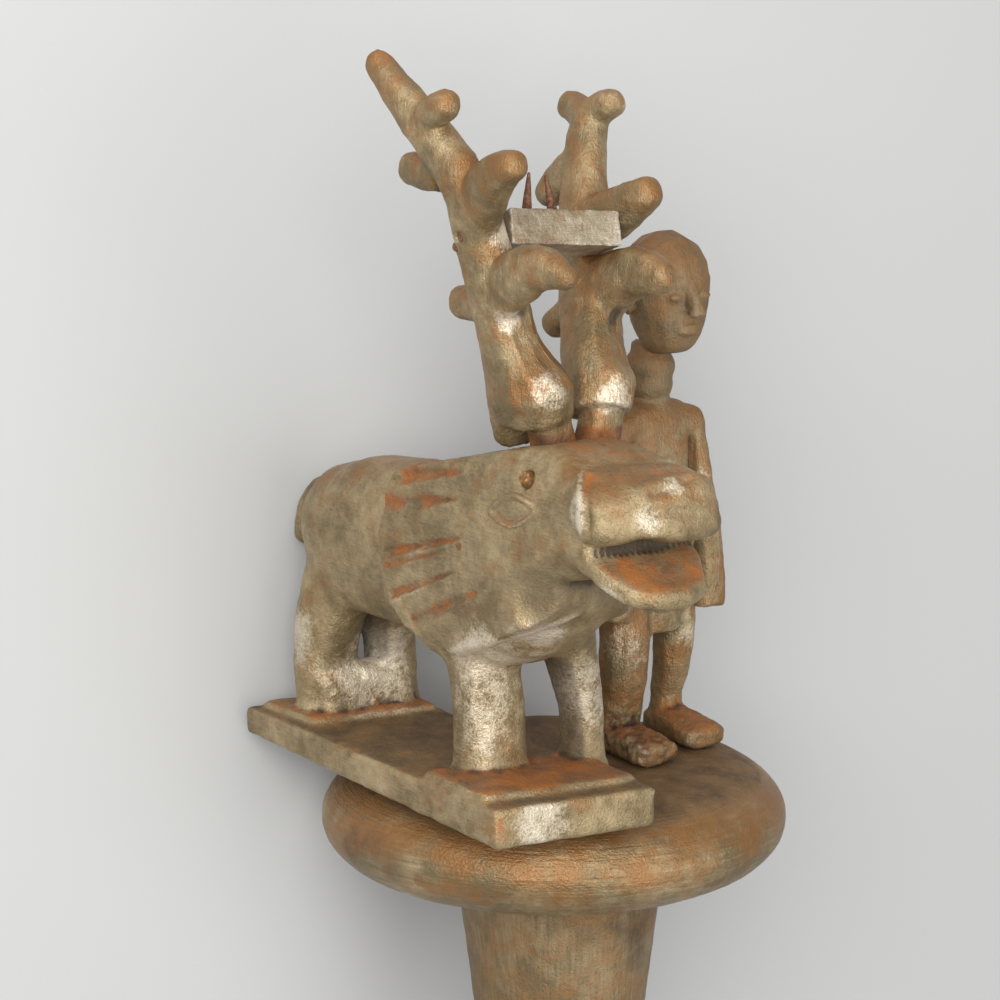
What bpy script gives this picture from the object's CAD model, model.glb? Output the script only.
# %% [markdown]
# # A linguist staff, laid down in the studio
# The real staff is carved wood under worn silver-gold paint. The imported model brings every
# piece at its size and place. This lesson turns each faceted carving into a smooth, tooled
# surface, paints it, and sets up a camera that looks at it as the photograph does.
# The frame is loaded first, because every piece is built from it or placed by it.

# %% Load the frame
import bpy
import math
import numpy as np
from mathutils import Matrix, Vector


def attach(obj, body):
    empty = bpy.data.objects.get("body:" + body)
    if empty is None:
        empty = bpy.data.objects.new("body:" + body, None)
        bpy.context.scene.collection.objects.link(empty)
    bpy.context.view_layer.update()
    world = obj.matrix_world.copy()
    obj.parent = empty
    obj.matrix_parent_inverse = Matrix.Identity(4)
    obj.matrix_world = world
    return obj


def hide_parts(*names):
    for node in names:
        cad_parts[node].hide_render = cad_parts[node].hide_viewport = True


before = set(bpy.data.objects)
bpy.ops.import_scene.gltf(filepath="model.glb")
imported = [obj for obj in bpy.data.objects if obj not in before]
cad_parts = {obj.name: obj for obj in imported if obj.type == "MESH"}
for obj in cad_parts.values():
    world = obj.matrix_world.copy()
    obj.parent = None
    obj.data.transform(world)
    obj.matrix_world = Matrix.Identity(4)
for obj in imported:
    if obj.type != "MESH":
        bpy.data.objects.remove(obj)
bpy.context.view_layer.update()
print("nodes:", sorted(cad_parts))

# %% [markdown]
# ## How the staff lies
# The real staff is carved upright, with the disc's flat top as the ground that the beast and
# the figure stand on. The sizes are kept in that upright frame: X is forward, Y is left and Z
# is up the staff. Each piece could be measured as it lies, but numbers read off an upright
# staff are easier to follow, so one matrix lays it all down.

# %% The lying matrix
MM = 0.001
FORWARD = Vector((0.069284, -0.044806, 0.996590))
LEFT = Vector((0.997597, 0.003112, -0.069215))
UP_STAFF = Vector((0.0, 0.998991, 0.044914))
DISC_TOP = Vector((1.320575, 559.430987, 72.245981)) * MM
LIE = Matrix.Translation(DISC_TOP) @ Matrix((FORWARD, LEFT, UP_STAFF)).transposed().to_4x4()
AXES = np.array([FORWARD, LEFT, UP_STAFF])
BEAST_MIDDLE = -43.0        # the beast's middle plane, left of the disc's centre, in mm
PLINTH_TOP = 12.5           # its plinth's top above the disc, in mm


def upright(points):
    """Points of the lying staff, in mm in the upright frame."""
    return (points - np.array(DISC_TOP)) @ AXES.T / MM


print("disc top lies at", [round(value, 3) for value in DISC_TOP])

# %% [markdown]
# ## Camera
# The photograph was taken from in front and to the right of the beast, a little above the
# disc's top, with a long lens. A camera can be turned by eye until the framing fits. Here its
# place and direction are numbers in the upright frame, carried through the lying matrix, so it
# looks down on the staff and the framing stays the photograph's.

# %% Camera
CAMERA_PLACE = Vector((773.66, -562.10, 276.37)) * MM
CAMERA_LOOK = Vector((-0.802768, 0.562166, -0.198834))
CAMERA_RIGHT = Vector((0.573622, 0.819126, 0.0))
FOCAL_LENGTH, SENSOR_WIDTH = 115.2, 36      # mm
lens = bpy.data.cameras.new("photograph_lens")
lens.lens = FOCAL_LENGTH
lens.sensor_width = SENSOR_WIDTH
lens.clip_start = 10 * MM
camera = bpy.data.objects.new("photograph_camera", lens)
bpy.context.scene.collection.objects.link(camera)
up_image = CAMERA_RIGHT.cross(CAMERA_LOOK)
stance = Matrix((CAMERA_RIGHT, up_image, -CAMERA_LOOK)).transposed().to_4x4()
camera.matrix_world = LIE @ Matrix.Translation(CAMERA_PLACE) @ stance
bpy.context.scene.camera = camera
print("camera at", [round(value, 3) for value in camera.matrix_world.translation])

# %% [markdown]
# ## Mesh helpers
# A carving in Blender can be sculpted by hand, but a script can do the same moves on all
# points at once. numpy reads the points, moves them and writes them back. Most of what comes
# later is made of two ideas: pulling points towards their neighbours, and smooth ramps.

# %% Mesh helpers
PULL = 0.5      # how far one round pulls a value towards its neighbours' mean


def choose(piece):
    """Selects one piece alone and makes it active, as operators need."""
    bpy.ops.object.select_all(action="DESELECT")
    piece.select_set(True)
    bpy.context.view_layer.objects.active = piece


def points_of(piece):
    flat = np.empty(len(piece.data.vertices) * 3)
    piece.data.vertices.foreach_get("co", flat)
    return flat.reshape(-1, 3)


def move_points(piece, points):
    piece.data.vertices.foreach_set("co", points.ravel())
    piece.data.update()


def normals_of(piece):
    flat = np.empty(len(piece.data.vertices) * 3)
    piece.data.vertex_normals.foreach_get("vector", flat)
    return flat.reshape(-1, 3)


def edges_of(piece):
    flat = np.empty(len(piece.data.edges) * 2, np.int32)
    piece.data.edges.foreach_get("vertices", flat)
    return flat.reshape(-1, 2)


def blurred(values, edges, rounds, weight=PULL):
    """Values on the points, each pulled towards its neighbours' mean."""
    first, second = edges[:, 0], edges[:, 1]
    count = len(values)
    shared = np.bincount(first, minlength=count) + np.bincount(second, minlength=count)
    shared = np.maximum(shared, 1)[:, None]
    result = values.copy()
    for _ in range(rounds):
        mean = np.stack([
            np.bincount(first, column[second], count) + np.bincount(second, column[first], count)
            for column in result.T
        ], axis=1) / shared
        result += weight * (mean - result)
    return result


def step(value, low, high):
    """A smooth ramp from 0 at low to 1 at high."""
    share = np.clip((value - low) / (high - low), 0, 1)
    return share * share * (3 - 2 * share)


print("a ramp from 0 to 1:", [round(float(step(value, 0, 1)), 2) for value in (0.1, 0.5, 0.9)])

# %% [markdown]
# ## From facets to carved wood
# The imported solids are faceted, as a first rough cut is. A copy of each is merged, filled
# with small voxels and relaxed until the facets melt into one another. Relaxing shrinks thin
# parts, so what was lost over a broad area is handed back. Crisp places are held still. The
# Smooth modifier does much the same, but gives no lost bulk back.

# %% A copy of a solid
WELD = 1e-6     # m, corners nearer than this are one corner


def copy_of(node, name):
    """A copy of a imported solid, merged, with its own name and no finish."""
    choose(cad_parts[node])
    bpy.ops.object.duplicate()
    piece = bpy.context.active_object
    piece.name = name
    piece.data.name = name
    piece.parent = None
    for key in list(piece.keys()):
        del piece[key]
    piece.data.materials.clear()
    bpy.ops.object.mode_set(mode="EDIT")
    bpy.ops.mesh.select_all(action="SELECT")
    bpy.ops.mesh.remove_doubles(threshold=WELD)
    bpy.ops.object.mode_set(mode="OBJECT")
    return piece


def voxels(piece, size):
    """Rebuilds the piece from blocks of size mm."""
    choose(piece)
    remesh = piece.modifiers.new("fine_blocks", "REMESH")
    remesh.mode = "VOXEL"
    remesh.voxel_size = size * MM
    bpy.ops.object.modifier_apply(modifier=remesh.name)


def relax(piece, rounds, hold=None, swell=0.0):
    """Melts the facets; swell in mm gives thin parts back their thickness."""
    edges = edges_of(piece)
    before = points_of(piece)
    weight = PULL if hold is None else PULL * (1 - hold[:, None])
    after = blurred(before, edges, rounds, weight)
    lost = blurred(before - after, edges, rounds * 2)
    move_points(piece, after + lost * (weight / PULL))
    if swell:
        move_points(piece, points_of(piece) + normals_of(piece) * swell * MM)


print("corners nearer than", WELD, "m are welded")

# %% [markdown]
# ## Tool marks, small cuts and the floor
# An adze and a knife leave shallow facets on real carving. A Displace modifier with a noise
# texture gives them in one move, and a mask keeps them to the places that were left rough. A
# small cut needs finer faces than the rest, so its faces alone are split. Where the staff
# touches the floor, it is worn flat.

# %% Tool marks and fine patches


def tool_marks(piece, size, depth, kind="VORONOI", where=None):
    """Marks size mm apart and depth mm deep, all over or where the mask says."""
    before = points_of(piece)
    choose(piece)
    texture = bpy.data.textures.new(piece.name + "_marks", kind)
    texture.noise_scale = size * MM
    marks = piece.modifiers.new("tool_marks", "DISPLACE")
    marks.texture = texture
    marks.texture_coords = "LOCAL"
    marks.strength = depth * MM
    marks.mid_level = 0.5
    bpy.ops.object.modifier_apply(modifier=marks.name)
    if where is not None:
        move_points(piece, before + (points_of(piece) - before) * where[:, None])


def finer_patch(piece, chosen):
    """Splits the faces whose points are chosen, so that a small cut stays sharp."""
    choose(piece)
    flags = np.array([all(chosen[i] for i in face.vertices) for face in piece.data.polygons])
    bpy.ops.object.mode_set(mode="EDIT")
    bpy.ops.mesh.select_all(action="DESELECT")
    bpy.ops.object.mode_set(mode="OBJECT")
    piece.data.polygons.foreach_set("select", flags)
    bpy.ops.object.mode_set(mode="EDIT")
    bpy.ops.mesh.select_mode(type="FACE")
    bpy.ops.mesh.subdivide(number_cuts=1)
    bpy.ops.mesh.select_mode(type="VERT")
    bpy.ops.object.mode_set(mode="OBJECT")


def on_floor(piece):
    """Flattens what would sink into the floor, as wear does."""
    points = points_of(piece)
    points[:, 2] = np.maximum(points[:, 2], 0)
    move_points(piece, points)


def finish_piece(piece, node):
    """Smooth shading, a flat on the floor, and the solid that the piece stands for."""
    choose(piece)
    bpy.ops.object.shade_smooth()
    on_floor(piece)
    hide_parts(node)
    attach(piece, "root")
    print(piece.name, len(piece.data.polygons), "faces")


print("tool marks are a Displace modifier; the floor is at height 0")

# %% [markdown]
# ## Guides for the paint
# Paint wears off edges and dirt gathers in hollows. Both follow the shape. They could be
# painted by hand as weights, but they are worked out from the shape and stored on the points:
# edge, hollow, a broader recess, how far a place faces up the staff, and flow, a place
# measured along the brush strokes. Four more say where the real staff is stained, rubbed,
# soiled or dusty.

# %% Paint guides
NEAR_REACH, WIDE_REACH = 1.1, 3.6       # mm that a hollow and a broad recess reach across
LEAST_NEAR, LEAST_WIDE, MOST_WIDE = 2, 8, 160       # rounds of blurring


def store(piece, name, values):
    kind, field = ("FLOAT_VECTOR", "vector") if values.ndim == 2 else ("FLOAT", "value")
    layer = piece.data.attributes.new(name, kind, "POINT")
    layer.data.foreach_set(field, values.astype(np.float32).ravel())


def zones(place, spots):
    """1 inside soft balls: each spot is forward, left, up and radius in mm."""
    cover = np.zeros(len(place))
    for x, y, z, radius in spots:
        reach = np.linalg.norm(place - np.array([x, y, z]), axis=1) / radius
        cover = np.maximum(cover, 1 - step(reach, 0.35, 1.25))
    return cover


def paint_guides(piece, spacing, flow_order=(0, 1, 2), **covers):
    """covers are stain (bare ground), silver (rubbed), soil (dark dirt) and dust, 0 to 1."""
    points = points_of(piece)
    normals = normals_of(piece)
    edges = edges_of(piece)
    near_rounds = max(LEAST_NEAR, round((NEAR_REACH / spacing) ** 2 * 4))
    wide_rounds = max(LEAST_WIDE, round((WIDE_REACH / spacing) ** 2 * 4))
    near = ((blurred(points, edges, near_rounds) - points) * normals).sum(1) / MM
    wide = ((blurred(points, edges, min(wide_rounds, MOST_WIDE)) - points) * normals).sum(1) / MM
    place = upright(points)
    store(piece, "hollow", step(near, 0.04, 0.3))
    store(piece, "edge", step(-near, 0.1, 0.5))
    store(piece, "recess", step(wide, 0.15, 1.3))
    store(piece, "rise", normals @ AXES[2])
    store(piece, "flow", place[:, list(flow_order)] * MM)
    for cover in ("stain", "silver", "soil", "dust"):
        store(piece, cover, covers.get(cover, 0) + np.zeros(len(points)))


print("guides look", NEAR_REACH, "and", WIDE_REACH, "mm across")

# %% [markdown]
# ## Colours and nodes
# Colours are picked as the eye sees them, in sRGB, and turned to linear light here. One small
# function adds a shader node with its settings and links, so a material reads as a list.

# %% Colour and node helpers


def linear(code):
    """A colour code such as #9a8868 as linear red, green, blue and full cover."""
    parts = [int(code[i:i + 2], 16) / 255 for i in (1, 3, 5)]
    light = [p / 12.92 if p <= 0.04045 else ((p + 0.055) / 1.055) ** 2.4 for p in parts]
    return (*light, 1.0)


def add_node(tree, kind, inputs=None, out=0, **settings):
    """Adds a node, sets or links its inputs, and gives back its output called out."""
    node = tree.nodes.new(kind)
    for key, value in settings.items():
        setattr(node, key, value)
    for key, value in (inputs or {}).items():
        if isinstance(value, bpy.types.NodeSocket):
            tree.links.new(value, node.inputs[key])
        else:
            node.inputs[key].default_value = value
    return node.outputs[out]


def new_material(name):
    material = bpy.data.materials.new(name)
    material.use_nodes = True
    shader = material.node_tree.nodes["Principled BSDF"]
    return material, material.node_tree, shader


print("mid grey in linear light:", round(linear("#808080")[0], 3))

# %% [markdown]
# ## Bronze and aluminium paint on carved wood
# The real finish is a metallic paint, brushed thinly over an orange-brown ground. It has
# tarnished to olive in patches, rubbed bright on the edges, and the ground shows through on
# ledges and in the cuts. It could be painted by hand on an image. Nodes that read the guides
# were chosen, because they stay sharp close up and follow the carving by themselves. The
# layers are coat, rubbing, bare ground, dust and dirt, in that order.

# %% Paint colours
PAINT_COLOURS = {
    "tarnish": "#766546",
    "paint": "#a9946f",
    "amber": "#8e5f30",
    "bright": "#d6c9b2",
    "ground_dark": "#5f3617",
    "ground": "#9c5a1c",
    "dust_dark": "#473219",
    "dust": "#765a36",
    "dirt": "#21150d",
}
print("paint colours:", ", ".join(PAINT_COLOURS))

# %% [markdown]
# ## The paint's patterns
# Old paint is uneven at several sizes at once: patches, mottling, grit and brush strokes.
# Each is one noise, scaled by its real size in millimetres and read along the brush strokes.
# The grit is drawn a little coarser than the real one, which is too fine to show.

# %% Patterns
PATCH_SIZE, WARM_SIZE, MOTTLE_SIZE, GRIT_SIZE = 20, 12, 4, 0.8      # mm across
PATTERN_SHIFT = (0.31, 0.17, 0.23)      # moves the amber patches off the plain ones


def paint_patterns(tree, flow, stroke_long, stroke_wide):
    """The noises that the layers share; a stroke's length and width are in mm."""
    patches = add_node(tree, "ShaderNodeTexNoise", {
        "Vector": flow, "Scale": 1 / (PATCH_SIZE * MM), "Detail": 4, "Roughness": 0.62})
    mottle = add_node(tree, "ShaderNodeTexNoise", {
        "Vector": flow, "Scale": 1 / (MOTTLE_SIZE * MM), "Detail": 6, "Roughness": 0.72})
    grit = add_node(tree, "ShaderNodeTexNoise", {
        "Vector": flow, "Scale": 1 / (GRIT_SIZE * MM), "Detail": 2, "Roughness": 0.6})
    across = 1 / (stroke_wide * MM)
    long_way = add_node(tree, "ShaderNodeVectorMath", {
        0: flow, 1: (1 / (stroke_long * MM), across, across)}, operation="MULTIPLY")
    strokes = add_node(tree, "ShaderNodeTexNoise", {
        "Vector": long_way, "Scale": 1.0, "Detail": 3, "Roughness": 0.6})
    elsewhere = add_node(tree, "ShaderNodeVectorMath", {
        0: flow, 1: PATTERN_SHIFT}, operation="ADD")
    warm = add_node(tree, "ShaderNodeTexNoise", {
        "Vector": elsewhere, "Scale": 1 / (WARM_SIZE * MM), "Detail": 6, "Roughness": 0.68})
    return {"patches": patches, "mottle": mottle, "grit": grit, "strokes": strokes, "warm": warm}


print("pattern sizes:", PATCH_SIZE, WARM_SIZE, MOTTLE_SIZE, GRIT_SIZE, "mm")

# %% [markdown]
# ## Coat and rubbing
# The coat runs from clean to olive, with most amber on what faces up the staff. Handling rubs
# it bright again on edges and on the fullest curves. Each layer adds up noises and guides by
# their weights, and one range turns the sum into a share, so no edge is one even line.

# %% Tarnished and rubbed coat


def tarnished_coat(tree, colours, patterns, guides, tarnish, amber, stroke_show):
    """Clean to olive paint by patches, mottling and strokes, with amber patches over it."""
    mixed = patterns["patches"]
    for value, weight in ((patterns["strokes"], stroke_show), (patterns["mottle"], 0.7)):
        mixed = add_node(tree, "ShaderNodeMath", {
            0: value, 1: weight, 2: mixed}, operation="MULTIPLY_ADD")
    start = 0.53 + 0.5 * stroke_show + 0.3 * tarnish
    clean = add_node(tree, "ShaderNodeMapRange", {
        "Value": mixed, "From Min": start, "From Max": start + 0.34})
    coat = add_node(tree, "ShaderNodeMix", {
        0: clean, 6: linear(colours["tarnish"]), 7: linear(colours["paint"])},
        data_type="RGBA", out=2)
    warm_ledges = add_node(tree, "ShaderNodeMath", {
        0: guides["rise"], 1: 0.1, 2: patterns["warm"]}, operation="MULTIPLY_ADD")
    warm = add_node(tree, "ShaderNodeMapRange", {
        "Value": warm_ledges, "From Min": 0.66 - 0.3 * amber, "From Max": 0.86 - 0.3 * amber,
        "To Max": 0.75})
    return add_node(tree, "ShaderNodeMix", {
        0: warm, 6: coat, 7: linear(colours["amber"])}, data_type="RGBA", out=2)


def rubbed_coat(tree, colours, patterns, guides, coat, bright):
    """Bright silver on edges, in the rubbed places and at the heart of a few patches."""
    rubbed = patterns["patches"]
    for value, weight in ((guides["edge"], 0.22), (guides["silver"], 0.42),
                          (patterns["grit"], 0.7), (patterns["mottle"], 0.6)):
        rubbed = add_node(tree, "ShaderNodeMath", {
            0: value, 1: weight, 2: rubbed}, operation="MULTIPLY_ADD")
    shine = add_node(tree, "ShaderNodeMapRange", {
        "Value": rubbed, "From Min": 1.46 - 0.2 * bright, "From Max": 1.78 - 0.2 * bright,
        "To Max": 0.9})
    coat = add_node(tree, "ShaderNodeMix", {
        0: shine, 6: coat, 7: linear(colours["bright"])}, data_type="RGBA", out=2)
    return coat, shine


print("coat layers:", tarnished_coat.__name__, rubbed_coat.__name__)

# %% [markdown]
# ## Bare ground, dust and dirt
# Where the coat has gone, the orange-brown ground shows: on ledges that face up the staff, in
# cuts, on stained places and in loose patches. Brown dust lies on the shelves near the disc.
# Dark dirt fills recesses, and fine specks of it lie everywhere.

# %% Ground, dust and dirt


def bare_ground(tree, colours, patterns, guides, coat, ground):
    """Two tones of orange-brown where the coat is gone."""
    loose = add_node(tree, "ShaderNodeMapRange", {
        "Value": guides["rise"], "From Min": 0.4, "From Max": 1.0, "To Max": 0.16})
    for value, weight in ((guides["hollow"], 0.18), (guides["stain"], 0.36),
                          (patterns["mottle"], 0.8), (patterns["patches"], 0.35)):
        loose = add_node(tree, "ShaderNodeMath", {
            0: value, 1: weight, 2: loose}, operation="MULTIPLY_ADD")
    bare = add_node(tree, "ShaderNodeMapRange", {
        "Value": loose, "From Min": 0.87 - 0.22 * ground, "From Max": 1.07 - 0.22 * ground,
        "To Max": 0.85})
    earth_share = add_node(tree, "ShaderNodeMapRange", {
        "Value": patterns["warm"], "From Min": 0.38, "From Max": 0.62})
    earth = add_node(tree, "ShaderNodeMix", {
        0: earth_share, 6: linear(colours["ground_dark"]), 7: linear(colours["ground"])},
        data_type="RGBA", out=2)
    colour = add_node(tree, "ShaderNodeMix", {
        0: bare, 6: coat, 7: earth}, data_type="RGBA", out=2)
    return colour, bare


def settled_dust(tree, colours, patterns, guides, colour):
    """Brown dust in the dusty places, broken up by the mottling."""
    dusty = add_node(tree, "ShaderNodeMath", {
        0: patterns["mottle"], 1: 0.9, 2: guides["dust"]}, operation="MULTIPLY_ADD")
    cover = add_node(tree, "ShaderNodeMapRange", {
        "Value": dusty, "From Min": 0.62, "From Max": 1.3, "To Max": 0.92})
    share = add_node(tree, "ShaderNodeMapRange", {
        "Value": patterns["warm"], "From Min": 0.36, "From Max": 0.66})
    dust = add_node(tree, "ShaderNodeMix", {
        0: share, 6: linear(colours["dust_dark"]), 7: linear(colours["dust"])},
        data_type="RGBA", out=2)
    colour = add_node(tree, "ShaderNodeMix", {
        0: cover, 6: colour, 7: dust}, data_type="RGBA", out=2)
    return colour, cover


def ingrained_dirt(tree, colours, patterns, guides, colour):
    """Dark dirt in what is deep, and specks of it all over."""
    deep = patterns["mottle"]
    for value, weight in ((guides["recess"], 0.5), (guides["hollow"], 0.16), (guides["soil"], 0.5)):
        deep = add_node(tree, "ShaderNodeMath", {
            0: value, 1: weight, 2: deep}, operation="MULTIPLY_ADD")
    soiled = add_node(tree, "ShaderNodeMapRange", {
        "Value": deep, "From Min": 0.64, "From Max": 1.2, "To Max": 0.85})
    pepper = add_node(tree, "ShaderNodeMapRange", {
        "Value": patterns["grit"], "From Min": 0.63, "From Max": 0.72, "To Max": 0.55})
    dirty = add_node(tree, "ShaderNodeMath", {0: soiled, 1: pepper}, operation="MAXIMUM")
    colour = add_node(tree, "ShaderNodeMix", {
        0: dirty, 6: colour, 7: linear(colours["dirt"])}, data_type="RGBA", out=2)
    return colour, dirty


print("cover layers:", bare_ground.__name__, settled_dust.__name__, ingrained_dirt.__name__)

# %% [markdown]
# ## The whole paint
# A paint with metal flakes is neither full metal nor plain colour, so its metallic value is
# about a half, and falls away where ground, dust or dirt covers it. Its gloss is broken: fairly
# smooth on rubbed silver, dull elsewhere. The IOR stays at the shader's own 1.5, as a binder's.

# %% Metal paint
COATED_METAL, COVERED_METAL = 0.5, 0.04     # metallic where flakes lie bare, and where covered
SMOOTHEST, ROUGHEST = 0.36, 0.5             # roughness of the paint itself
RELIEF_DEPTH = 0.0006                       # m, strokes and grain too fine for the mesh


def metal_paint(name, tarnish, ground, bright, amber, stroke=(5, 0.5, 0.3), colours=PAINT_COLOURS):
    """stroke is the brush strokes' length and width in mm, and how much they show."""
    material, tree, shader = new_material(name)
    guides = {
        word: add_node(tree, "ShaderNodeAttribute", attribute_name=word, out="Fac")
        for word in ("hollow", "edge", "recess", "rise", "stain", "silver", "soil", "dust")
    }
    flow = add_node(tree, "ShaderNodeAttribute", attribute_name="flow", out="Vector")
    patterns = paint_patterns(tree, flow, stroke[0], stroke[1])
    coat = tarnished_coat(tree, colours, patterns, guides, tarnish, amber, stroke[2])
    coat, shine = rubbed_coat(tree, colours, patterns, guides, coat, bright)
    colour, bare = bare_ground(tree, colours, patterns, guides, coat, ground)
    colour, dust_cover = settled_dust(tree, colours, patterns, guides, colour)
    colour, dirty = ingrained_dirt(tree, colours, patterns, guides, colour)

    soiled = add_node(tree, "ShaderNodeMath", {0: bare, 1: dirty}, operation="MAXIMUM")
    covered = add_node(tree, "ShaderNodeMath", {
        0: soiled, 1: dust_cover}, operation="MAXIMUM")
    metallic = add_node(tree, "ShaderNodeMapRange", {
        "Value": covered, "From Max": 0.8, "To Min": COATED_METAL, "To Max": COVERED_METAL})
    roughness = add_node(tree, "ShaderNodeMapRange", {
        "Value": patterns["mottle"], "From Min": 0.3, "From Max": 0.7,
        "To Min": SMOOTHEST, "To Max": ROUGHEST})
    for value, weight in ((covered, 0.3), (shine, -0.12)):
        roughness = add_node(tree, "ShaderNodeMath", {
            0: value, 1: weight, 2: roughness}, operation="MULTIPLY_ADD")
    relief = patterns["mottle"]
    for value, weight in ((patterns["strokes"], 0.6), (patterns["grit"], 0.55)):
        relief = add_node(tree, "ShaderNodeMath", {
            0: value, 1: weight, 2: relief}, operation="MULTIPLY_ADD")
    bump = add_node(tree, "ShaderNodeBump", {
        "Height": relief, "Strength": 0.8, "Distance": RELIEF_DEPTH})
    looks = {"Base Color": colour, "Metallic": metallic, "Roughness": roughness, "Normal": bump}
    for socket, value in looks.items():
        tree.links.new(value, shader.inputs[socket])
    return material


# %% The four paints
# beast: silver gone gold, with the ground in its cuts
beast_paint = metal_paint(
    "silver_gold_paint_on_wood", tarnish=0.5, ground=0.34, bright=0.45, amber=0.45)
# antlers: handled most, so they are mottled bright, amber and olive
antler_paint = metal_paint(
    "rubbed_silver_paint_on_wood", tarnish=0.75, ground=0.5, bright=0.5, amber=0.75)
# figure: the brownest, with little silver left
figure_paint = metal_paint(
    "browned_silver_paint_on_wood", tarnish=0.65, ground=0.65, bright=0.35, amber=0.85)
# disc, neck and shaft: olive gold with long strokes round the rim and down the neck
base_paint = metal_paint(
    "olive_gold_paint_on_wood", tarnish=0.8, ground=0.24, bright=0.35, amber=0.85,
    stroke=(16, 1.0, 0.5))
print("paints:", [m.name for m in (beast_paint, antler_paint, figure_paint, base_paint)])

# %% [markdown]
# ## The antlered beast
# The beast, its plinth and its foot pads are one block of wood. It could be sculpted from a
# cube, but a voxel copy of the solid keeps the whole outline. The plinth, the muzzle, the tail
# and the antlers' sockets are held crisp, and the mane's near side gets finer faces, because
# its gouges and the ringed eye are small.

# %% The beast
BEAST_VOXEL = 0.96      # mm
RUBBED_BEAST = [
    # forward, left, up and radius in mm of each place where the silver is rubbed bright
    (50, -17, 24, 26), (50, 22, 24, 18), (112.5, -8, 89, 5), (111, 2, 97, 4), (70, -12, 47, 12),
    (50, -17, 41, 14), (68, -10, -6, 12), (-40, 0, 14, 20), (-52, -14, 26, 12), (108, -16, 69, 6),
    (98, -20, 90, 6),
]


def beast_frame(points):
    """Points in mm from the middle of the plinth's top."""
    place = upright(points)
    return place - np.array([0, BEAST_MIDDLE, PLINTH_TOP])


beast = copy_of("antlered_animal", "antlered_beast")
voxels(beast, BEAST_VOXEL)
place = beast_frame(points_of(beast))
near_side = step(np.abs(place[:, 1]), 11, 14) * (place[:, 1] < 0) > 0.5
mane = (place[:, 2] > 40) & (place[:, 2] < 96) & (place[:, 0] > -4) & (place[:, 0] < 80)
finer_patch(beast, near_side & mane)
place = beast_frame(points_of(beast))
plinth_hold = 0.85 * (1 - step(place[:, 2], 3, 9))
muzzle_hold = 0.7 * step(place[:, 0], 97, 102)
tail_hold = 0.7 * (1 - step(place[:, 0], -62, -56)) * step(place[:, 2], 44, 47)
socket_hold = 0.8 * step(place[:, 2], 92, 95) * (1 - step(np.abs(place[:, 1] - 8), 15, 18))
socket_hold *= step(place[:, 0], 45, 48) * (1 - step(place[:, 0], 66, 69))
relax(beast, rounds=26, hold=np.maximum.reduce([plinth_hold, muzzle_hold, tail_hold, socket_hold]))
print("beast voxels:", len(place), "points")

# %% [markdown]
# ## Gouges in the mane
# The mane's hair is a few long cuts, wide and deep where the tool went in and thin where it
# left. A cut could be a boolean, but pushing the points in along a line gives the ragged,
# lopsided groove of a real gouge. The ground shows in it, and its lower lip is rubbed.

# %% Lines on the surface
GOUGES = [
    # start forward, up; end forward, up; half width at the start and at the end; depth, in mm
    (9.6, 85.8, 40.4, 91.6, 2.4, 0.9, 1.0), (0.0, 75.6, 39.6, 84.0, 3.0, 0.9, 1.15),
    (1.5, 61.5, 41.6, 72.9, 1.5, 0.9, 0.9), (3.6, 48.9, 39.5, 62.9, 1.4, 0.7, 0.55),
    (14.0, 42.8, 50.0, 58.8, 2.4, 0.8, 0.8), (1.5, 57.6, 33.0, 67.4, 1.0, 0.6, 0.5),
]


def segment(place, start, end):
    """Distance from a straight line on the surface, and the share of the way along it."""
    run = np.array(end, float) - np.array(start, float)
    share = np.clip((place - np.array(start)) @ run / (run @ run), 0, 1)
    return np.linalg.norm(place - np.array(start) - share[:, None] * run, axis=1), share


def ridge(place, stops, width):
    """1 on a line through the stops, fading to 0 over width mm."""
    reach = np.min([segment(place, a, b)[0] for a, b in zip(stops, stops[1:])], axis=0)
    return np.exp(-(reach / width) ** 2)


print("gouges:", len(GOUGES))

# %% Cutting the gouges
points = points_of(beast)
normals = normals_of(beast)
place = beast_frame(points)
flat = place[:, [0, 2]]
flank = step(np.abs(place[:, 1]), 9, 13)
depth = np.zeros(len(points))
stain = np.zeros(len(points))
silver = zones(place, RUBBED_BEAST)
ragged = 0.5 * np.sin(place[:, 0] * 0.83 + place[:, 2] * 0.4)
ragged += 0.4 * np.sin(place[:, 0] * 1.7 - place[:, 2] * 1.3)
for x0, z0, x1, z1, wide, thin, deep in GOUGES:
    share = segment(flat, (x0, z0), (x1, z1))[1]
    run = np.array([x1 - x0, z1 - z0]) / math.hypot(x1 - x0, z1 - z0)
    above = (flat[:, 1] - z0) * run[0] - (flat[:, 0] - x0) * run[1] + 0.16 * ragged
    half = wide + (thin - wide) * share
    slope = np.where(above > 0, half * 1.1, half * 0.5)
    end_fade = step(flat[:, 0], x0 - 2.5, x0 + 1) * (1 - step(flat[:, 0], x1 - 2, x1 + 2))
    groove = np.exp(-(above / slope) ** 2) * flank * end_fade
    depth -= deep * (0.45 + 0.55 * half / wide) * groove
    depth += 0.3 * np.exp(-((above + 1.3 * half) / 0.7) ** 2) * flank * end_fade
    silver += 0.35 * np.exp(-((above + 1.3 * half) / 0.6) ** 2) * flank * end_fade
    cut = np.exp(-((above - 0.3 * half) / (1.5 * half)) ** 2) * flank * end_fade
    stain = np.maximum(stain, 1.35 * cut * (0.78 + 0.22 * np.sin(place[:, 0] * 0.3 + z0)))
mane_rear = np.exp(-((place[:, 0] + 1.2) / 1.4) ** 2) * flank * step(place[:, 2], 46, 56)
depth -= 0.5 * mane_rear
stain = np.maximum(stain, 0.8 * mane_rear)
chip = np.exp(-(np.hypot(flat[:, 0] - 40.8, flat[:, 1] - 70.6) / 1.6) ** 2) * flank
stain = np.maximum(stain, 1.6 * chip)
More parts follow.
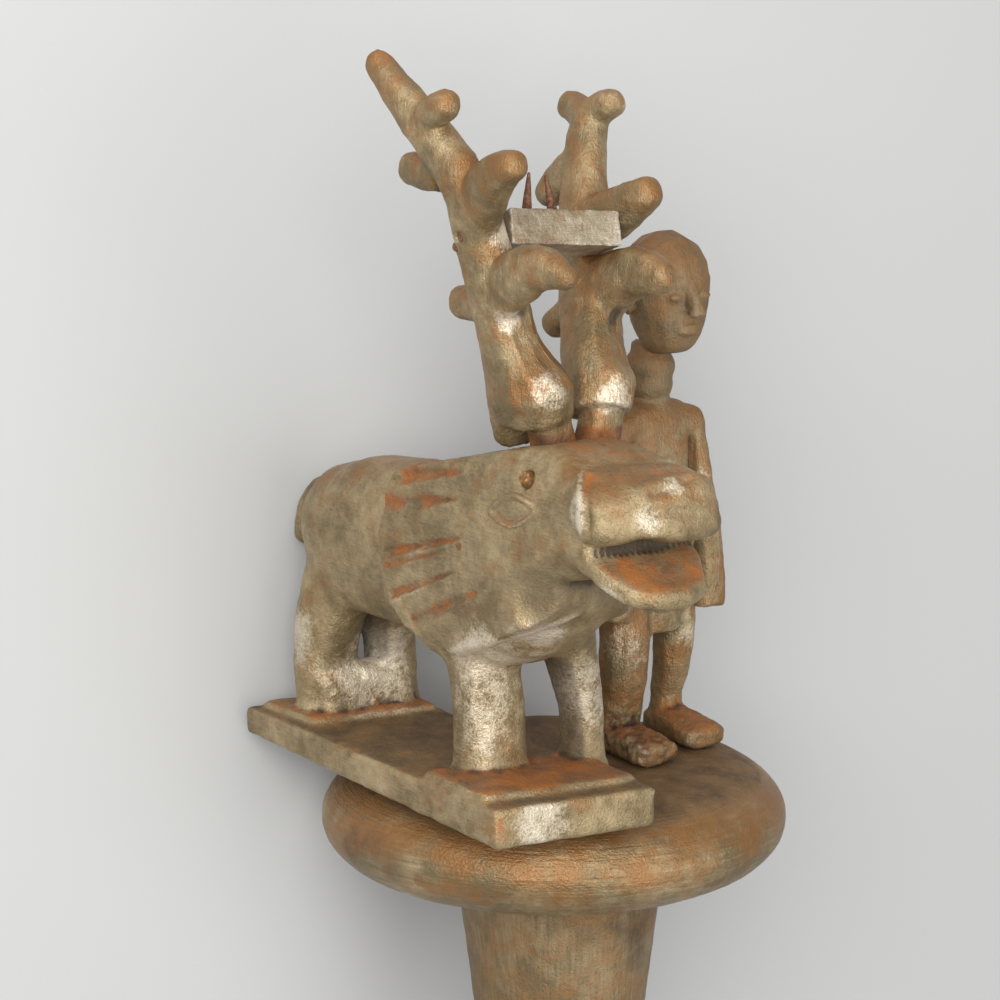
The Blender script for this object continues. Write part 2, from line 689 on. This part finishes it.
print("deepest gouge", round(-depth.min(), 2), "mm")

# %% [markdown]
# ## Eyes, collar, nose, mouth and bib
# These are low relief: a raised almond lid between two grooves, a thick edge where the muzzle
# meets the cheek, a fold over the nose, short teeth in the slit and a lip that hangs in front.
# Each is a smooth line or ring of its own width, added to one depth per point, so that the
# mesh is moved only once and its faces stay even.

# %% Ringed eyes
EYE_CENTRE, EYE_LONG, EYE_TALL = (66.6, 85.2), 10.6, 4.3        # mm
EYE_TILT = 0.17     # radians
ahead, above = place[:, 0] - EYE_CENTRE[0], place[:, 2] - EYE_CENTRE[1]
eye_long = np.abs(ahead * math.cos(EYE_TILT) + above * math.sin(EYE_TILT)) / EYE_LONG
eye_tall = np.abs(above * math.cos(EYE_TILT) - ahead * math.sin(EYE_TILT)) / EYE_TALL
eye_ring = (eye_long ** 1.5 + eye_tall ** 1.5) ** (1 / 1.5)
near_eye = step(np.abs(place[:, 1]), 12, 15)
lid = np.exp(-((eye_ring - 1.0) / 0.1) ** 2)
depth += near_eye * (0.5 * lid - 0.45 * np.exp(-((eye_ring - 0.76) / 0.12) ** 2))
depth -= near_eye * 0.3 * np.exp(-((eye_ring - 1.25) / 0.12) ** 2)
silver += near_eye * 0.42 * lid
stain += near_eye * 0.8 * np.exp(-((eye_ring - 0.8) / 0.12) ** 2)
stain += near_eye * 0.7 * np.exp(-((eye_ring - 1.2) / 0.1) ** 2) * (above > 0)
print("eye", 2 * EYE_LONG, "mm long,", 2 * EYE_TALL, "mm tall")

# %% Collar, nose, mouth and bib
COLLAR = [(92.2, 15, 99.6), (98, 20.5, 96), (100.2, 21, 92), (101, 21.5, 86), (99.4, 19.6, 79.5)]
BIB = [(31, -16, 37.6), (46, -18, 42.5), (57.6, -17.6, 46.4), (69.5, -12.4, 51.4), (77, -4.9, 55.6)]
TOOTH_SPACING, JAW_DROOP = 1.9, 3.6     # mm
for face_side in (-1, 1):
    collar = [(x, face_side * y, z) for x, y, z in COLLAR]
    fold = [(x + 3.4, y * 1.01, z - 0.6) for x, y, z in collar]
    depth += 0.8 * ridge(place, collar, 1.8) - 1.0 * ridge(place, fold, 1.0)
    silver += 0.55 * ridge(place, collar, 1.8)
    stain += 0.5 * ridge(place, fold, 1.2)
nose_fold = ridge(place, [(112, -5, 96.2), (112, 0, 97.4), (110.9, 7, 99)], 2.1)
lip_ridge = ridge(place, [(112, -8, 93.4), (113.5, 0, 92.8), (114, 10, 91.8)], 1.4)
nose_tip = zones(place, [(111, 12, 98, 6)])
lip_arch = np.exp(-((place[:, 1] + 8) / 5.5) ** 2) * step(place[:, 0], 101, 104)
lip_arch *= step(-place[:, 2], -85, -82) * step(place[:, 2], 79.5, 80.5)
depth += 0.9 * lip_ridge - 2.0 * nose_fold + 0.9 * nose_tip - 1.8 * lip_arch
silver += 0.55 * ridge(place, [(112, -2, 96), (112, 3, 97)], 2.0)
slit = ridge(place, [(101.5, -17, 79), (102.5, 0, 78.6), (102.5, 17, 78.6)], 1.3)
teeth = slit * (0.5 + 0.5 * np.sin(place[:, 1] * 2 * math.pi / TOOTH_SPACING))
depth -= 0.5 * teeth
bib = ridge(place, BIB, 1.5)
depth += 0.7 * bib
silver += 0.6 * bib
cheek_hollow = zones(place, [(76, -15, 63, 12), (76, 15, 63, 12), (80, -6, 62, 10), (80, 6, 62, 10)])
depth -= 0.6 * cheek_hollow
droop = JAW_DROOP * step(place[:, 0], 99, 116) * (1 - step(place[:, 2], 78.6, 80.2))
droop *= step(place[:, 2], 55, 62)
move_points(beast, points + (normals * depth[:, None] - AXES[2] * droop[:, None]) * MM)
print("relief runs from", round(depth.min(), 2), "to", round(depth.max(), 2), "mm")

# %% [markdown]
# ## Tool marks and wear of the beast
# The legs, the feet and the web between the hind legs were left rough, the body was smoothed.
# The wear is laid where the real paint has it: bare ground on the jaw's top and round the fore
# feet, soil between the legs and in the mouth, dust on the plinth.

# %% Tool marks and wear of the beast
legs = step(place[:, 2], 1, 4) * (1 - step(place[:, 2], 34, 46))
web = zones(place, [(-40, -6, 12, 15), (-40, 8, 12, 15)])
leg_feet = step(place[:, 2], 2, 5) * (1 - step(place[:, 2], 9, 17)) * step(place[:, 0], 34, 38)
tool_marks(beast, 8, 0.5)
tool_marks(beast, 2.2, 0.22, "CLOUDS")
tool_marks(beast, 3.0, 0.7, "CLOUDS", where=np.maximum(0.6 * legs, leg_feet))
tool_marks(beast, 2.6, 1.5, "CLOUDS", where=web)
rise = normals @ AXES[2]
jaw_top = step(place[:, 0], 100, 106) * (1 - step(place[:, 2], 78, 80)) * step(rise, 0.4, 0.8)
stain += 0.65 * jaw_top
stain += leg_feet * step(rise, 0.3, 0.8)
stain += 0.7 * step(rise, 0.5, 0.9) * (np.abs(place[:, 2] - 3.4) < 1.6)
stain += 0.5 * zones(place, [(72, 8, 101, 20), (98, -12, 99, 8), (14, -8, 92, 18), (100, 4, 101, 12)])
stain += 1.4 * ridge(place, [(68, -24, -11), (67.5, -24, -3)], 1.5)
stain += 0.5 * zones(place, [(52, -21, 38, 8), (96, -17, 70, 8)])
inward = step(-(normals @ AXES[1]) * np.sign(place[:, 1]), 0.2, 0.7)
soil = inward * legs * 1.1 + 0.75 * cheek_hollow + 0.9 * lip_arch + 0.5 * slit + 0.7 * teeth
low_shelf = step(rise, 0.55, 0.9) * (1 - step(place[:, 2], 0.7, 1.7)) * step(place[:, 2], -3, -1)
dust = 0.85 * low_shelf + 0.1 * jaw_top
paint_guides(beast, BEAST_VOXEL, stain=stain, silver=silver, soil=soil, dust=dust)
beast.data.materials.append(beast_paint)
finish_piece(beast, "antlered_animal")

# %% [markdown]
# ## Antlers
# Each antler is one forked branch with a squared foot in the head. They are thinner than the
# beast, so the voxels are finer, and they are swelled a little to win back what relaxing
# takes. Each is pinched above its lowest swelling. The notch that holds the block stays crisp.

# %% Antlers
ANTLER_VOXEL, WAIST_DEPTH = 0.6, 3.2        # mm
RUBBED_ANTLERS = [
    (65, -6, 117, 8), (64, 18, 113, 7), (53, -13, 160, 7), (44, 30, 175, 6), (57, -14, 137, 5),
    (64, 20, 134, 4),
]
ANTLER_WAISTS = [(61, -4, 132, 12), (60, 27, 131, 12)]
for node, name in (("antler_right", "right_antler"), ("antler_left", "left_antler")):
    antler = copy_of(node, name)
    voxels(antler, ANTLER_VOXEL)
    place = beast_frame(points_of(antler))
    notch = 0.6 * (1 - step(np.abs(place[:, 2] - 158.4), 6, 9))
    notch *= 1 - step(np.abs(place[:, 0] - 45.5), 9, 12)
    relax(antler, rounds=14, hold=notch, swell=0.3)
    place = beast_frame(points_of(antler))
    waist = zones(place, ANTLER_WAISTS)
    move_points(antler, points_of(antler) - normals_of(antler) * WAIST_DEPTH * waist[:, None] * MM)
    tool_marks(antler, 7, 0.7)
    tool_marks(antler, 2, 0.25, "CLOUDS")
    place = beast_frame(points_of(antler))
    at_peg = (1 - step(np.abs(place[:, 0] - 58), 6, 8)) * (1 - step(place[:, 2], 103, 107))
    tips = 0.25 * (1 - step(place[:, 0], 22, 32)) + 0.2 * step(place[:, 2], 188, 200)
    paint_guides(
        antler, ANTLER_VOXEL, flow_order=(2, 0, 1), stain=1.2 * at_peg + tips,
        silver=zones(place, RUBBED_ANTLERS), soil=0.7 * at_peg,
    )
    antler.data.materials.append(antler_paint)
    finish_piece(antler, node)

# %% [markdown]
# ## Standing figure
# The figure is one block too: tunic, sleeves, neck rings, head and feet. The face and toes
# are small, so they are held while the broad tunic relaxes. The near foot was left rough, so
# it gets the deepest marks.

# %% The figure
FIGURE_SIZE, FIGURE_VOXEL = 163.5, 0.62     # mm
RUBBED_FIGURE = [
    (12, 28, 112, 8), (10, 30, 72, 7), (14, 22, 30, 15), (12, 44, 34, 12), (12, 47, 84, 8),
    (12, 20, 88, 6),
]
figure = copy_of("standing_figure", "robed_figure")
voxels(figure, FIGURE_VOXEL)
height = upright(points_of(figure))[:, 2] / FIGURE_SIZE * 100       # in hundredths of the figure
face_hold = 0.8 * step(height, 76, 78)
toe_hold = 0.6 * (1 - step(height, 6, 8))
ring_hold = 0.5 * step(height, 66, 68) * (1 - step(height, 75, 77))
relax(figure, rounds=18, hold=np.maximum.reduce([face_hold, toe_hold, ring_hold]))
place = upright(points_of(figure))
low = 1 - step(place[:, 2], 12, 18)
rough_foot = low * (1 - step(place[:, 1], 26, 32))
tool_marks(figure, 6, 0.5, where=1 - step(height, 74, 76))
tool_marks(figure, 1.6, 0.14, "CLOUDS")
tool_marks(figure, 3.2, 2.4, "CLOUDS", where=np.maximum(rough_foot, 0.35 * low))
paint_guides(
    figure, FIGURE_VOXEL, flow_order=(2, 0, 1), stain=0.25 * step(place[:, 2], 50, 70) + 0.45 * low,
    silver=0.7 * zones(place, RUBBED_FIGURE), soil=0.35 * rough_foot + 0.2 * low,
    dust=0.05 + 0.45 * step(place[:, 2], 60, 130),
)
figure.data.materials.append(figure_paint)
finish_piece(figure, "standing_figure")

# %% [markdown]
# ## Disc, neck and shaft
# These were rounded with a rasp or turned. They could be voxel copies too, but a profile drawn
# point by point, like a template, and spun round the axis gives a far rounder rim.

# %% Turning from a profile
RIM_FLOW_RADIUS = 60        # mm, turns an angle into a length round the rim


def turn_profile(name, profile, axis_place, sides):
    """profile lists (radius, height) in mm from the axis to the axis."""
    bpy.ops.object.select_all(action="DESELECT")
    bpy.ops.mesh.primitive_plane_add(size=MM, location=(0, 0, 0))
    piece = bpy.context.active_object
    piece.name = name
    piece.data.name = name
    bpy.ops.object.mode_set(mode="EDIT")
    bpy.ops.mesh.select_all(action="SELECT")
    bpy.ops.mesh.merge(type="CENTER")
    at = [Vector((axis_place[0] + r, axis_place[1], z)) * MM for r, z in profile]
    bpy.ops.transform.translate(value=at[0])
    for before, after in zip(at, at[1:]):
        bpy.ops.mesh.extrude_vertices_move(TRANSFORM_OT_translate={"value": after - before})
    bpy.ops.mesh.select_all(action="SELECT")
    bpy.ops.mesh.spin(
        steps=sides, angle=2 * math.pi, axis=(0, 0, 1),
        center=(axis_place[0] * MM, axis_place[1] * MM, 0),
    )
    bpy.ops.mesh.select_all(action="SELECT")
    bpy.ops.mesh.remove_doubles(threshold=WELD)
    bpy.ops.mesh.normals_make_consistent(inside=False)
    bpy.ops.object.mode_set(mode="OBJECT")
    piece.data.transform(LIE)
    return piece


def finer(profile, longest):
    """The same profile with no step longer than longest."""
    result = [profile[0]]
    for (r0, z0), (r1, z1) in zip(profile, profile[1:]):
        count = max(1, math.ceil(math.hypot(r1 - r0, z1 - z0) / longest))
        for i in range(1, count + 1):
            result.append((r0 + (r1 - r0) * i / count, z0 + (z1 - z0) * i / count))
    return result


def turned_flow(piece, axis_place, along):
    """Flow for a turned piece: along the axis, or round the rim."""
    place = upright(points_of(piece)) - np.array([*axis_place, 0])
    angle = np.arctan2(place[:, 1], place[:, 0])
    radius = np.hypot(place[:, 0], place[:, 1])
    if along:
        return np.stack([place[:, 2], place[:, 0], place[:, 1]], axis=1) * MM
    return np.stack([angle * RIM_FLOW_RADIUS, radius, place[:, 2]], axis=1) * MM


def set_flow(piece, along):
    piece.data.attributes.remove(piece.data.attributes["flow"])
    store(piece, "flow", turned_flow(piece, NECK_AXIS, along))


NECK_AXIS = (1.2, 1.6)      # mm forward and left of the disc's centre
print("the neck stands", NECK_AXIS, "mm off the disc's centre")

# %% [markdown]
# ## Disc with its neck
# On the real staff the neck grows out of the disc, a little off its centre. Two spun shapes
# that run into each other are joined as one piece, which gives the crisp corner under the
# disc. The rim is half an ellipse, and the neck narrows with a slightly hollow side.

# %% Disc and neck
# radii and lengths in mm
DISC_RADIUS, DISC_THICK, RIM_DEPTH = 72.0, 32.0, 24.0
NECK_TOP, NECK_END, NECK_LENGTH, NECK_HOLLOW = 32.6, 18.2, 138.0, 1.1
BORE_RADIUS, BORE_DEPTH = 10.3, 40      # the socket in the neck's end
neck_end_z = -DISC_THICK - NECK_LENGTH
rim = [
    (DISC_RADIUS - RIM_DEPTH + RIM_DEPTH * math.cos(turn), DISC_THICK / 2 * (math.sin(turn) - 1))
    for turn in np.linspace(math.pi / 2, -math.pi / 2, 40)
]
WORN_BASE = [
    (6, -71, -14, 9), (15, -68, -17, 8), (-4, -70, -15, 8), (32, 3, -44, 8), (31, 9, -50, 8),
    (29, 12, -58, 7), (40, 60, -20, 10),
]
disc_profile = finer([(0, 0), *rim, (0, -DISC_THICK)], longest=1.5)
disc = turn_profile("disc", disc_profile, axis_place=(0, 0), sides=330)
neck_side = [
    (NECK_TOP + (NECK_END - NECK_TOP) * share - NECK_HOLLOW * math.sin(math.pi * share),
     -DISC_THICK - NECK_LENGTH * share)
    for share in np.linspace(0, 0.963, 60)
]
neck_profile = [
    (0, -DISC_THICK + 6), (NECK_TOP, -DISC_THICK + 6), *neck_side,
    # the slim ring at the end, then the socket
    (NECK_END + 0.6, neck_end_z + 5), (NECK_END + 1.6, neck_end_z + 4),
    (NECK_END + 1.6, neck_end_z + 1), (NECK_END + 0.6, neck_end_z), (BORE_RADIUS, neck_end_z),
    (BORE_RADIUS, neck_end_z + BORE_DEPTH), (0, neck_end_z + BORE_DEPTH),
]
neck = turn_profile("neck", finer(neck_profile, longest=2.2), NECK_AXIS, sides=120)
for part, along in ((disc, False), (neck, True)):
    tool_marks(part, 11, 0.5, "CLOUDS")
    tool_marks(part, 3, 0.2, "CLOUDS")
    top = step(normals_of(part) @ AXES[2], 0.75, 0.98)
    worn = zones(upright(points_of(part)), WORN_BASE)
    paint_guides(part, spacing=1.4, dust=0.85 * top + (0.4 if along else 0.0), soil=0.8 * worn)
    set_flow(part, along)
choose(disc)
neck.select_set(True)
bpy.ops.object.join()
disc.name = "disc_and_neck"
disc.data.materials.append(base_paint)
finish_piece(disc, "finial_base")

# %% [markdown]
# ## Shaft
# The photograph stops above the shaft, so it is a plain tapered rod with four low collars and
# a tenon that goes into the neck's socket. One spun profile gives all of it.

# %% Shaft
SHAFT_TOP, SHAFT_END, SHAFT_LENGTH = 16.6, 13.6, 1170.0     # radii and length in mm
COLLARS = (66, 78, 560, 1104)       # mm below the shoulder
COLLAR_HEIGHT, COLLAR_REACH = 2.4, 3.5      # mm out, and mm up and down
shoulder_z = neck_end_z - 0.3


def shaft_radius(below):
    """Radius so many mm below the shoulder."""
    collar = max(math.cos(min(abs(below - c) / COLLAR_REACH, 1) * math.pi / 2) for c in COLLARS)
    return SHAFT_TOP + (SHAFT_END - SHAFT_TOP) * below / SHAFT_LENGTH + COLLAR_HEIGHT * collar


near_collars = {c + d for c in COLLARS for d in np.linspace(-4, 4, 13)}
stations = sorted(set(np.linspace(1.2, SHAFT_LENGTH - 1.2, 150)) | near_collars)
shaft_profile = [
    (0, shoulder_z + 40.2), (8.8, shoulder_z + 40.2), (10, shoulder_z + 39), (10, shoulder_z)]
shaft_profile += [(SHAFT_TOP - 1, shoulder_z)] + [(shaft_radius(b), shoulder_z - b) for b in stations]
shaft_profile += [(SHAFT_END - 1.2, shoulder_z - SHAFT_LENGTH), (0, shoulder_z - SHAFT_LENGTH)]
shaft = turn_profile("turned_shaft", shaft_profile, NECK_AXIS, sides=64)
tool_marks(shaft, 14, 0.3, "CLOUDS")
paint_guides(shaft, spacing=2.5)
set_flow(shaft, True)
shaft.data.materials.append(base_paint)
finish_piece(shaft, "shaft")

# %% [markdown]
# ## Crossbar
# The squared block between the antlers was sawn and left rough under its silver. It is a voxel
# copy, relaxed only a little, so that its edges stay square. Its paint is the same as the rest
# with paler colours, because it is the cleanest silver on the staff.

# %% Crossbar
BAR_VOXEL = 0.4     # mm
bar = copy_of("crossbar", "antler_crossbar")
voxels(bar, BAR_VOXEL)
relax(bar, rounds=5)
tool_marks(bar, 5, 0.45, "CLOUDS")
tool_marks(bar, 1.4, 0.2, "CLOUDS")
bar_ends = step(np.abs(upright(points_of(bar))[:, 1] + 34.5), 15.5, 18.5)
paint_guides(bar, BAR_VOXEL, flow_order=(1, 0, 2), soil=0.6 * bar_ends, stain=0.4 * bar_ends)
SILVER_COLOURS = dict(
    PAINT_COLOURS, tarnish="#77674f", paint="#a89a82", bright="#e0d8c9", ground="#8f5428")
bar_paint = metal_paint(
    "rusted_silver_on_sawn_wood", tarnish=0.15, ground=0.5, bright=1.25, amber=0.35,
    colours=SILVER_COLOURS)
bar.data.materials.append(bar_paint)
finish_piece(bar, "crossbar")

# %% [markdown]
# ## Old iron, brass and bare wood
# The two nails on the block are forged iron gone to rust: brown, dull, hardly metallic. The
# brow nail is domed brass, worn to a low gleam on its high places. The pegs are whittled wood,
# darkened by handling. All three are blotches of two colours from one noise, with the lighter
# one smoother, and keep the shader's own IOR.

# %% Finishes of the small pieces
PIT_DEPTH = 0.0003      # m


def plain_finish(name, dark, light, size, metallic, rough_low, rough_high):
    """size is how many mm the blotches are across."""
    material, tree, shader = new_material(name)
    coordinates = add_node(tree, "ShaderNodeTexCoord", out="Object")
    blotch = add_node(tree, "ShaderNodeTexNoise", {
        "Vector": coordinates, "Scale": 1 / (size * MM), "Detail": 5, "Roughness": 0.7})
    share = add_node(tree, "ShaderNodeMapRange", {
        "Value": blotch, "From Min": 0.35, "From Max": 0.65})
    colour = add_node(tree, "ShaderNodeMix", {
        0: share, 6: linear(dark), 7: linear(light)}, data_type="RGBA", out=2)
    rough = add_node(tree, "ShaderNodeMapRange", {
        "Value": blotch, "From Min": 0.3, "From Max": 0.7,
        "To Min": rough_high, "To Max": rough_low})
    bump = add_node(tree, "ShaderNodeBump", {
        "Height": blotch, "Strength": 0.6, "Distance": PIT_DEPTH})
    tree.links.new(colour, shader.inputs["Base Color"])
    tree.links.new(rough, shader.inputs["Roughness"])
    tree.links.new(bump, shader.inputs["Normal"])
    shader.inputs["Metallic"].default_value = metallic
    return material


iron = plain_finish("rusted_iron_nail", "#3b2a22", "#8c5c40", 1.2, 0.35, 0.55, 0.85)
brass = plain_finish("worn_brass_nail", "#5a3c22", "#b58a58", 1.0, 0.6, 0.4, 0.65)
bare_wood = plain_finish("oiled_bare_wood", "#4c3423", "#86603e", 1.5, 0.0, 0.6, 0.85)
print("small finishes:", [m.name for m in (iron, brass, bare_wood)])

# %% [markdown]
# ## Nails and pegs
# They are about 3 to 6 mm across, so they take the finest voxels. A little relaxing and some
# shallow marks make forged and whittled pieces of the faceted ones.

# %% Nails and pegs
SMALL_VOXEL = 0.25      # mm


def small_piece(node, name, material, rounds):
    piece = copy_of(node, name)
    voxels(piece, SMALL_VOXEL)
    relax(piece, rounds)
    tool_marks(piece, 1.2, 0.12, "CLOUDS")
    piece.data.materials.append(material)
    finish_piece(piece, node)


for i in (1, 2):
    small_piece(f"crossbar_nail_{i}", f"iron_nail_{i}", iron, 12)
    small_piece(f"antler_peg_{i}", f"side_peg_{i}", bare_wood, 6)
small_piece("brow_nail", "domed_brow_nail", brass, 14)

# %% [markdown]
# ## Floor
# The staff lies on a plain pale floor of matte studio paper. A floor far larger than the view
# was chosen over a curved sheet, because the camera looks down on it and sees no horizon.

# %% Floor
FLOOR_SIZE, PAPER_ROUGHNESS = 40, 0.85      # m, and as matte as paper
bpy.ops.object.select_all(action="DESELECT")
bpy.ops.mesh.primitive_plane_add(size=FLOOR_SIZE, location=(0, 0, 0))
floor = bpy.context.active_object
floor.name = "studio_floor"
floor_material, _, floor_shader = new_material("matte_studio_floor")
floor_shader.inputs["Base Color"].default_value = linear("#b2b2b0")
floor_shader.inputs["Roughness"].default_value = PAPER_ROUGHNESS
floor.data.materials.append(floor_material)
print("floor", FLOOR_SIZE, "m wide")

# %% [markdown]
# ## Lights
# The photograph's light is soft and comes from above the beast, with bright silver on its
# front and near side. A softbox to the front and right gives that. A large bank overhead keeps
# the shadows soft, and a weak light beyond the antlers opens the tops. The air adds a little.

# %% Lights
AIR_STRENGTH = 0.46
LIGHTS = {
    # name: place in the upright frame in mm, size in m, power in W
    "key_softbox": ((980, -880, 520), 0.9, 22),
    "overhead_bank": ((2600, 300, -300), 2.6, 44),
    "top_fill": ((300, -150, 1100), 0.9, 3.5),
}
TARGET = LIE @ (Vector((0, -10, 90)) * MM)
for name, (spot, size, power) in LIGHTS.items():
    light = bpy.data.lights.new(name, "AREA")
    light.size = size
    light.energy = power
    lamp = bpy.data.objects.new(name, light)
    bpy.context.scene.collection.objects.link(lamp)
    lamp.location = LIE @ (Vector(spot) * MM)
    lamp.rotation_euler = (TARGET - lamp.location).to_track_quat("-Z", "Y").to_euler()
    print(name, [round(value, 2) for value in lamp.location])
world = bpy.data.worlds.new("studio_air")
world.use_nodes = True
world.node_tree.nodes["Background"].inputs["Color"].default_value = linear("#dcdfe4")
world.node_tree.nodes["Background"].inputs["Strength"].default_value = AIR_STRENGTH
bpy.context.scene.world = world
bpy.context.scene.view_settings.view_transform = "Standard"
